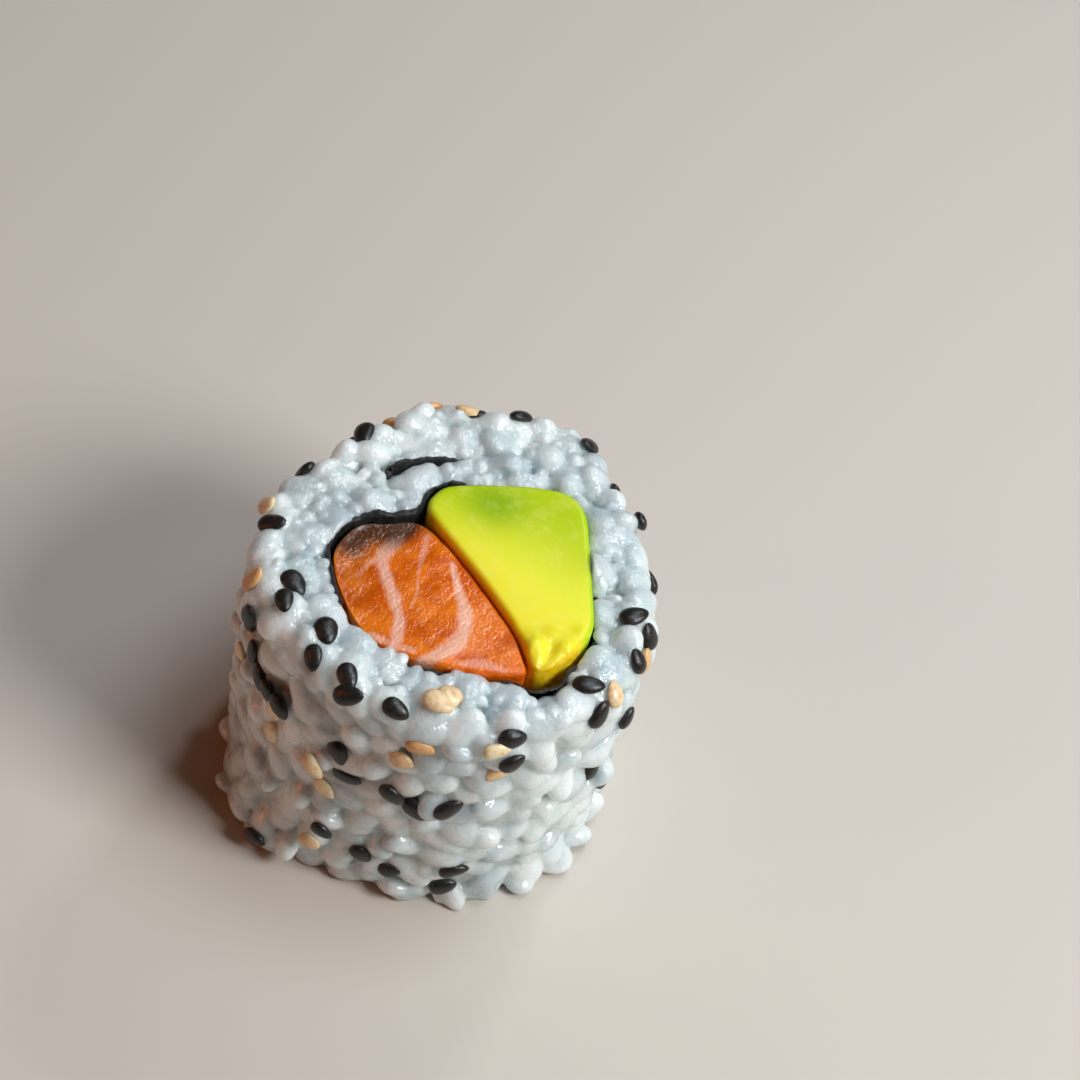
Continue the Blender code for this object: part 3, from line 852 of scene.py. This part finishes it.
# The line of fat fades between these shares of its half width, which wanders by FAT_WANDER.
FAT_FADE = (0.45, 1.4)
FAT_WANDER = 0.3
FAT_WANDER_LENGTH = 1.1
FAT_SEED = 11
FAT_STEP = 0.15
# Where brown shade is painted on the flesh by the sheet: angles round SHADE_MIDDLE, and depths in from the
# outline.
SHADE_MIDDLE = (-4.0, -6.0)
SHADE_ANGLES = ((84.0, 104.0), (150.0, 180.0))
SHADE_DEPTHS = (1.4, 4.4)
# Shade is painted a little darker on the flesh towards its left end, between these places along X.
LEFT_SHADE_SHARE = 0.3
LEFT_SHADE_END = (-13.0, -6.0)
# The cut: its tears as (seed, height, length across and along the fibres), and its low waves.
FIBRE_TURN = math.radians(58.0)
TEARS = ((22, 0.04, 0.4, 2.5), (23, 0.07, 1.2, 4.0))
KNIFE_WAVES = (24, 0.16, 3.5)
# The cut's middle stands up by CUT_RISE, and it falls by CUT_FALL towards its left end.
CUT_RISE = 0.5
CUT_FALL = 1.3
CUT_FALL_REACH = (-3.0, 12.0)
FILLING_STEP = 0.28
FILLING_LEVELS = 14
FILLING_RINGS = 34
ROUND_STEPS = 6
LINE_STEP = 0.2
MUSCLE_DARK = paint(214, 94, 6)
MUSCLE_LIGHT = paint(244, 130, 26)
# Partly pale fibre, partly a painted glint on the wet cut.
PALE_FIBRE_AND_GLINT = paint(255, 190, 130)
# Painted shade: the dark brown laid on the flesh by the sheet and at its left end.
FAT = paint(250, 186, 158)
PAINTED_SHADE_BROWN = paint(74, 44, 26)


def strip(name, outline, top, edge, crown):
    """A standing strip: its outline carried up a wall, round the edge and in over the top.

    Crown gives the height to add at points of the top. The middle of each end closes in a fan."""
    line = curve_through(outline, FILLING_STEP, closed=True)
    count = len(line)
    near = np.arange(-round(edge / FILLING_STEP), round(edge / FILLING_STEP) + 1)
    inward = normals_of(line, closed=True)[(np.arange(count)[:, None] + near) % count].mean(axis=1)
    turns = np.linspace(0.0, math.pi / 2, ROUND_STEPS)[1:]
    # Each level: how far in from the outline, its size in the plan, its height, its share of crown.
    levels = [(edge / 2, share, 0.0, 0.0) for share in (0.3, 0.7, 1.0)]
    levels += [(0.0, 1.0, height, 0.0) for height in np.linspace(edge, top - edge, FILLING_LEVELS)]
    levels += [(edge * (1 - math.cos(a)), 1.0, top - edge * (1 - math.sin(a)), math.sin(a)) for a in turns]
    levels += [(edge, share, top, 1.0) for share in np.linspace(1.0, 0.0, FILLING_RINGS)[1:-1]]
    rows = []
    for inset, share, height, crowned in levels:
        plan = line + inward * inset
        plan = plan.mean(axis=0) + (plan - plan.mean(axis=0)) * share
        rows.append(np.column_stack([plan, height + crowned * crown(plan)]))
    points = np.vstack([*rows, rows[0].mean(axis=0), rows[-1].mean(axis=0)])
    here, beside = np.arange(count), (np.arange(count) + 1) % count
    last = (len(rows) - 1) * count
    low_fan = np.column_stack([beside, here, np.full(count, len(points) - 2)])
    high_fan = np.column_stack([last + here, last + beside, np.full(count, len(points) - 1)])
    faces = grid_faces(len(rows), count, wrap_columns=True)
    return new_piece(name, points, faces, caps=np.vstack([low_fan, high_fan])), points


def near_line(points, line_points, half_widths):
    """1 on a line and 0 beyond its half width, smoothly: the line's width wanders a little."""
    line = curve_through(line_points, FAT_STEP)
    apart = np.linalg.norm(points[:, None, :2] - line[None], axis=2)
    place = apart.argmin(axis=1) / (len(line) - 1)
    wander = FAT_WANDER * ripple(FAT_SEED, *points[:, :2].T / FAT_WANDER_LENGTH)
    wide = np.interp(place, (0.0, 0.5, 1.0), half_widths) * (1.0 + wander)
    return 1 - ease(apart.min(axis=1) / wide, *FAT_FADE)


def flakes(plan):
    """Height of the salmon's cut: faint tears along its fibres, over the knife's low waves."""
    x, y = plan[:, 0], plan[:, 1]
    across = x * math.sin(FIBRE_TURN) - y * math.cos(FIBRE_TURN)
    along_fibres = x * math.cos(FIBRE_TURN) + y * math.sin(FIBRE_TURN)
    height = CUT_RISE - CUT_FALL * ease(-x, *CUT_FALL_REACH)
    for seed, high, short, long in TEARS:
        height = height + high * ripple(seed, across / short, along_fibres / long)
    seed, high, length = KNIFE_WAVES
    return height + high * ripple(seed, x / length, y / length)


salmon, salmon_points = strip("salmon_strip", SALMON_OUTLINE, SALMON_TOP, SALMON_EDGE, flakes)
fat_share = np.zeros(len(salmon_points))
for strength, half_widths, line_points in FAT_LINES:
    fat_share = np.maximum(fat_share, strength * near_line(salmon_points, line_points, half_widths))
salmon_line = curve_through(SALMON_OUTLINE, LINE_STEP, closed=True)
salmon_rim = np.linalg.norm(salmon_points[:, None, :2] - salmon_line[None], axis=2)
rim_x, rim_y = (salmon_line[salmon_rim.argmin(axis=1)] - SHADE_MIDDLE).T
rim_turn = np.degrees(np.arctan2(rim_y, rim_x))
# Painted shade: brown by the sheet, and a little darker towards the left end.
shade_by_sheet = ease(rim_turn, *SHADE_ANGLES[0]) * (1 - ease(rim_turn, *SHADE_ANGLES[1]))
shade_by_sheet = shade_by_sheet * (1 - ease(salmon_rim.min(axis=1), *SHADE_DEPTHS))
shade_by_left = LEFT_SHADE_SHARE * (1 - ease(salmon_points[:, 0], *LEFT_SHADE_END))
store(salmon, "fat", fat_share)
store(salmon, "shade", np.maximum(shade_by_left, shade_by_sheet))

shop = Shop(
    "salmon", IOR=1.4, Specular_IOR_Level=0.8,
    Subsurface_Weight=0.6, Subsurface_Radius=(1.0, 0.3, 0.1), Subsurface_Scale=0.0010,
)
muscle = shop.noise(3.0, 4.0, 0.6)
fibres = shop.noise(0.35, 3.0, 0.6, along=(FIBRE_TURN, 3.0))
# Pale streaks along the fibres: partly real pale fibre, partly painted glints of the wet cut.
pale = 0.55 * shop.spread(fibres, 0.58, 0.72) * shop.spread(muscle, 0.4, 0.6)
flesh = shop.mix(shop.spread(muscle, 0.35, 0.65), MUSCLE_DARK, MUSCLE_LIGHT)
flesh = shop.mix(pale, flesh, PALE_FIBRE_AND_GLINT)
flesh = shop.mix(shop.attribute("fat"), flesh, FAT)
shop.feed(
    # Painted shade: the flesh turns dark brown by the sheet and a little darker at its left end.
    Base_Color=shop.mix(0.95 * shop.attribute("shade"), flesh, PAINTED_SHADE_BROWN),
    Roughness=0.08 + 0.12 * fibres,
    Normal=shop.bump(shop.noise(0.35, 1.0), 0.12, under=shop.bump(fibres, 0.09)),
)
finish_piece(salmon, shop.material, "salmon")

# ---------------------------------------------------------------------------------------------
# Avocado: a wedge of ripe flesh without its skin, laid beside the salmon. It is green where the
# skin was, yellow towards the stone, and its soft front tip is crushed by the knife.
# ---------------------------------------------------------------------------------------------
AVOCADO_TOP = 34.3
AVOCADO_EDGE = 0.6
AVOCADO_OUTLINE = (
    (-5.0, 4.8), (-4.0, 3.4), (-1.0, 0.6), (3.4, -3.5), (7.5, -7.8), (9.6, -10.9),
    (10.6, -11.8), (12.1, -11.4), (14.3, -8.5), (15.3, -4.8), (14.0, 0.8), (12.6, 6.2),
    (11.2, 10.2), (8.8, 11.9), (5.0, 11.5), (0.6, 10.1), (-3.5, 8.4), (-4.9, 6.4),
)
# The crushed tip: it sinks by TIP_SINK, with (x, y, half width, height) lumps and fine crumbs.
TIP_REACH = (-10.5, -5.5)
TIP_SINK = 0.25
TIP_LUMPS = (
    (10.0, -9.3, 1.1, 0.75), (13.2, -8.4, 1.2, 0.7), (11.3, -7.6, 0.9, 0.35), (9.2, -10.3, 0.6, 0.3),
    (12.5, -10.3, 0.7, 0.4), (14.3, -6.2, 0.8, 0.3), (10.9, -10.8, 0.6, 0.3),
)
TIP_CRUMBS = (36, 0.12, 0.5)
# The crack in the tip: its middle, half width and depth, how it leans, and where it ends.
TIP_CRACK = (11.7, 0.4, 0.4)
CRACK_LEAN = (0.25, 9.0)
CRACK_REACH = (-9.5, -7.8)
CUT_WAVES = (32, 0.06, 3.5)
# The colours run into each other across the cut, and wander by WANDER at their edges.
WANDER = (34, 0.9, 3.0)
GREEN_FROM = (-2.0, 9.0)
GREEN_LEAN = 0.05
RIPE_TO = (-4.5, 5.0)
RIPE_LEAN = 0.45
RIPE_WANDER = 0.6
WET_REACH = (-9.5, -6.0)
DEEP_GREEN = (1.8, 7.6)
DEEP_GREEN_SIZE = (3.2, 2.8)
# The edge is green where the skin was, and golden beside the stone: where one turns into the
# other, and how far in from the outline each reaches.
SKIN_LEAN = 1.7
SKIN_FROM = (-1.0, 4.0)
RIM_DEPTH = (0.1, 0.9)
FLANK_DEPTH = (0.05, 0.75)
YELLOW_FLESH = paint(240, 238, 60)
RIPE_FLESH = paint(255, 232, 56)
GREEN_FLESH = paint(188, 210, 0)
BLOTCH_GREEN = paint(136, 178, 0)
SKIN_GREEN = paint(170, 204, 4)
GOLDEN_FLANK = paint(250, 200, 20)
PALE_OIL = paint(250, 236, 120)


def soft_lumps(plan):
    """Height of the avocado's cut: nearly flat, with lumps and a crack where its tip is crushed."""
    x, y = plan[:, 0], plan[:, 1]
    crushed = 1 - ease(y, *TIP_REACH)
    seed, high, length = CUT_WAVES
    height = high * ripple(seed, x / length, y / length) - TIP_SINK * crushed
    for lump_x, lump_y, wide, high in TIP_LUMPS:
        height = height + high * np.exp(-((x - lump_x) ** 2 + (y - lump_y) ** 2) / wide**2)
    middle, wide, deep = TIP_CRACK
    across = x - middle - CRACK_LEAN[0] * (y + CRACK_LEAN[1])
    crack = deep * np.exp(-((across / wide) ** 2)) * (1 - ease(y, *CRACK_REACH))
    seed, high, length = TIP_CRUMBS
    return height - crack + high * crushed * ripple(seed, x / length, y / length)


avocado, avocado_points = strip("avocado_strip", AVOCADO_OUTLINE, AVOCADO_TOP, AVOCADO_EDGE, soft_lumps)
x, y = avocado_points[:, :2].T
seed, high, length = WANDER
wander = high * ripple(seed, x / length, y / length)
blotch_x, blotch_y = (x - DEEP_GREEN[0]) / DEEP_GREEN_SIZE[0], (y - DEEP_GREEN[1]) / DEEP_GREEN_SIZE[1]
avocado_line = curve_through(AVOCADO_OUTLINE, LINE_STEP, closed=True)
avocado_rim = np.linalg.norm(avocado_points[:, None, :2] - avocado_line[None], axis=2)
rim_x, rim_y = avocado_line[avocado_rim.argmin(axis=1)].T
rim_apart = avocado_rim.min(axis=1)
skin_side = ease(rim_x + SKIN_LEAN * rim_y, *SKIN_FROM)
store(avocado, "green", ease(y + GREEN_LEAN * x + wander, *GREEN_FROM))
store(avocado, "ripe", 1 - ease(y + RIPE_LEAN * x + RIPE_WANDER * wander, *RIPE_TO))
store(avocado, "blotch", np.exp(-(blotch_x**2 + blotch_y**2)))
store(avocado, "crushed", 1 - ease(y, *WET_REACH))
store(avocado, "rim", (1 - ease(rim_apart, *RIM_DEPTH)) * skin_side)
store(avocado, "flank", (1 - ease(rim_apart, *FLANK_DEPTH)) * (1 - skin_side))

shop = Shop(
    "avocado", Specular_IOR_Level=0.3, Subsurface_Weight=0.7,
    Subsurface_Radius=(1.0, 0.85, 0.3), Subsurface_Scale=0.0024,
)
flesh = shop.mix(shop.attribute("ripe"), YELLOW_FLESH, RIPE_FLESH)
flesh = shop.mix(shop.attribute("green"), flesh, GREEN_FLESH)
flesh = shop.mix(0.85 * shop.attribute("blotch"), flesh, BLOTCH_GREEN)
flesh = shop.mix(shop.attribute("rim"), flesh, SKIN_GREEN)
flesh = shop.mix(shop.attribute("flank"), flesh, GOLDEN_FLANK)
mottle = shop.spread(shop.noise(1.6, 4.0, 0.6), 0.45, 0.75)
crushed = shop.attribute("crushed")
smears = shop.bump(shop.noise(0.6, 4.0, 0.6), 0.015)
shop.feed(
    Base_Color=shop.mix(0.2 * mottle, flesh, PALE_OIL),
    Roughness=0.32 + 0.18 * mottle - 0.1 * crushed,
    Normal=shop.bump(shop.noise(1.3, 1.0, 0.5) * crushed, 0.3, under=smears),
)
finish_piece(avocado, shop.material, "avocado")

# ---------------------------------------------------------------------------------------------
# Table and light: a plain pale table; a cool lamp on the right, a cooler one above, a small one
# behind that glints on the wet cut, and a warm low lamp on the left, in a room that is nearly dark.
# ---------------------------------------------------------------------------------------------
TABLE_HALF = 900.0
TABLE_DROP = 0.05
TABLE_CREAM = paint(207, 197, 186)
ROOM_COLOUR = (0.85, 0.8, 0.75, 1.0)
ROOM_STRENGTH = 0.008
# (place in metres, side in metres, power in watts, colour)
LAMPS = {
    "key": ((0.44, -0.12, 0.43), 0.22, 3.2, (0.95, 0.985, 1.0)),
    "top": ((0.16, 0.10, 0.58), 0.25, 1.38, (0.84, 0.93, 1.0)),
    "glint": ((0.12, 0.42, 0.40), 0.07, 0.45, (0.9, 0.96, 1.0)),
    "fill": ((-0.50, -0.25, 0.22), 0.2, 0.40, (1.0, 0.24, 0.04)),
}
LAMPS_AIM = Vector((0.0, 0.0, 0.02))
CAMERA_PLACE = Vector((7.43, -177.49, 251.03)) * MM
CAMERA_RIGHT = (0.96174, 0.20986, 0.17610)
CAMERA_UP = (-0.27396, 0.73674, 0.61820)
CAMERA_BACK = (0.0, -0.64279, 0.76604)
CAMERA_LENS = 88.67
CAMERA_SENSOR = 36.0
CAMERA_NEAR = 0.01

scene = bpy.context.scene
table_signs = np.array([[-1, -1], [1, -1], [1, 1], [-1, 1]])
table_corners = np.column_stack([TABLE_HALF * table_signs, np.full(4, -TABLE_DROP)])
table = new_piece("table", table_corners, np.array([[0, 1, 2, 3]]))
table.data.materials.append(Shop("table", Base_Color=TABLE_CREAM, Roughness=0.6).material)

for name, (place, side, power, colour) in LAMPS.items():
    light = bpy.data.lights.new(name, "AREA")
    light.size = side
    light.energy = power
    light.color = colour
    lamp = bpy.data.objects.new(name, light)
    lamp.location = place
    lamp.rotation_euler = (LAMPS_AIM - Vector(place)).to_track_quat("-Z", "Y").to_euler()
    scene.collection.objects.link(lamp)

room = bpy.data.worlds.new("room")
scene.world = room
room.use_nodes = True
room.node_tree.nodes["Background"].inputs["Color"].default_value = ROOM_COLOUR
room.node_tree.nodes["Background"].inputs["Strength"].default_value = ROOM_STRENGTH

camera_data = bpy.data.cameras.new("camera")
camera_data.lens = CAMERA_LENS
camera_data.sensor_width = CAMERA_SENSOR
camera_data.clip_start = CAMERA_NEAR
camera = bpy.data.objects.new("camera", camera_data)
camera_turn = Matrix((CAMERA_RIGHT, CAMERA_UP, CAMERA_BACK)).transposed().to_4x4()
camera.matrix_world = Matrix.Translation(CAMERA_PLACE) @ camera_turn
scene.collection.objects.link(camera)
scene.camera = camera
scene.view_settings.view_transform = "Standard"
